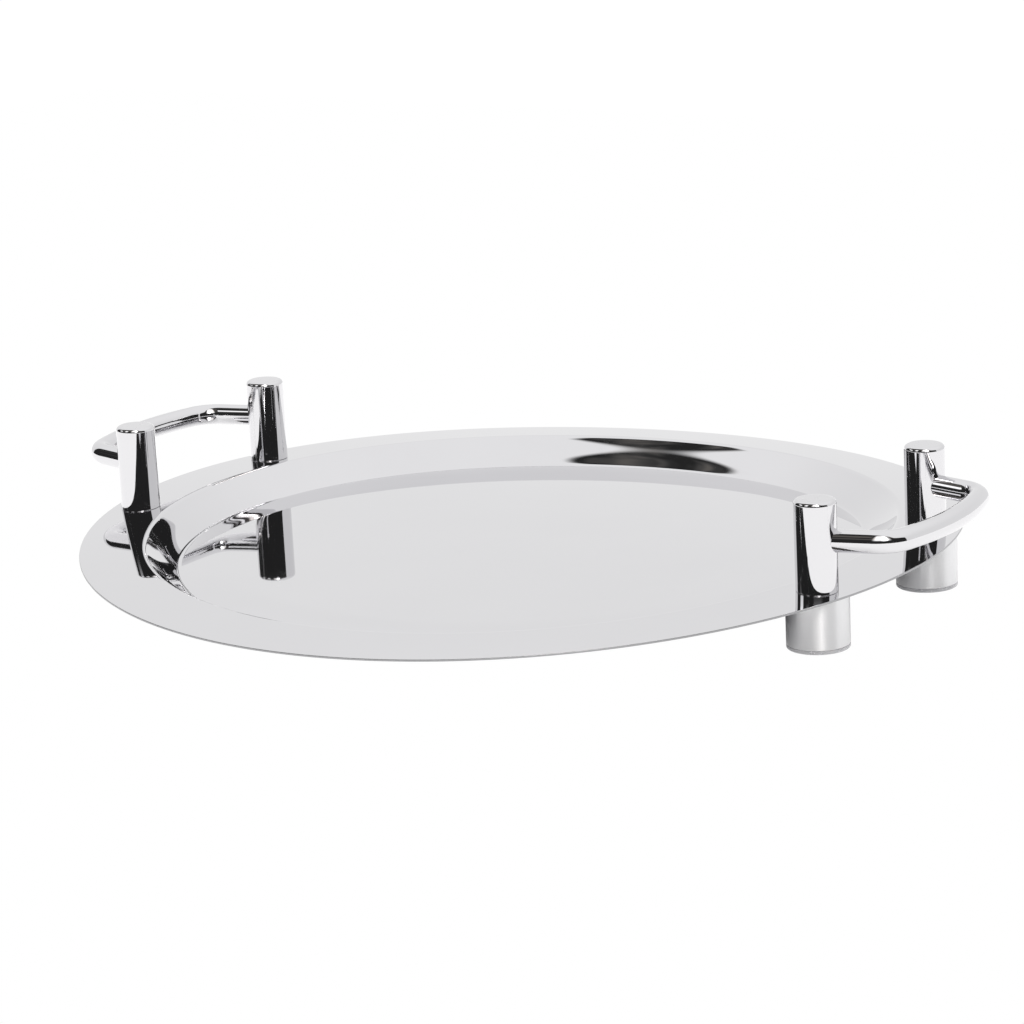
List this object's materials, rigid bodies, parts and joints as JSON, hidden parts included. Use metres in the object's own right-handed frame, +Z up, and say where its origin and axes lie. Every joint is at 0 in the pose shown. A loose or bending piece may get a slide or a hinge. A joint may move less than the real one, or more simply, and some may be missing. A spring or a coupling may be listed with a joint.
{
  "type": "serving tray",
  "caption": "Round polished steel serving tray with a shallow well, raised bar handles on posts at two sides, and cylindrical feet with clear pads.",
  "frame": {"origin": "centre of the tray on the plane of the undersides of the four foot pads", "axes": "+Z up, +X from the left handle to the right handle, -Y the front"},
  "size_m": [0.5392, 0.487, 0.0779],
  "materials": {
    "tray_steel": "mirror polished stainless steel sheet",
    "post_steel": "mirror polished, turned steel",
    "bar_steel": "mirror polished, bent steel bar",
    "foot_satin_steel": "satin, turned",
    "pad_plastic": "clear, slightly milky plastic",
    "fixing_steel": "zinc plated"
  },
  "bodies": {
    "root": {"tray_sheet": "tray_steel", "front_left_post": "post_steel", "rear_left_post": "post_steel", "front_right_post": "post_steel", "rear_right_post": "post_steel", "left_handle_bar": "bar_steel", "right_handle_bar": "bar_steel", "front_left_foot": "foot_satin_steel", "rear_left_foot": "foot_satin_steel", "front_right_foot": "foot_satin_steel", "rear_right_foot": "foot_satin_steel", "front_left_pad": "pad_plastic", "rear_left_pad": "pad_plastic", "front_right_pad": "pad_plastic", "rear_right_pad": "pad_plastic", "front_left_screw": "fixing_steel", "rear_left_screw": "fixing_steel", "front_right_screw": "fixing_steel", "rear_right_screw": "fixing_steel", "front_left_washer": "fixing_steel", "rear_left_washer": "fixing_steel", "front_right_washer": "fixing_steel", "rear_right_washer": "fixing_steel"}
  },
  "joints": []
}
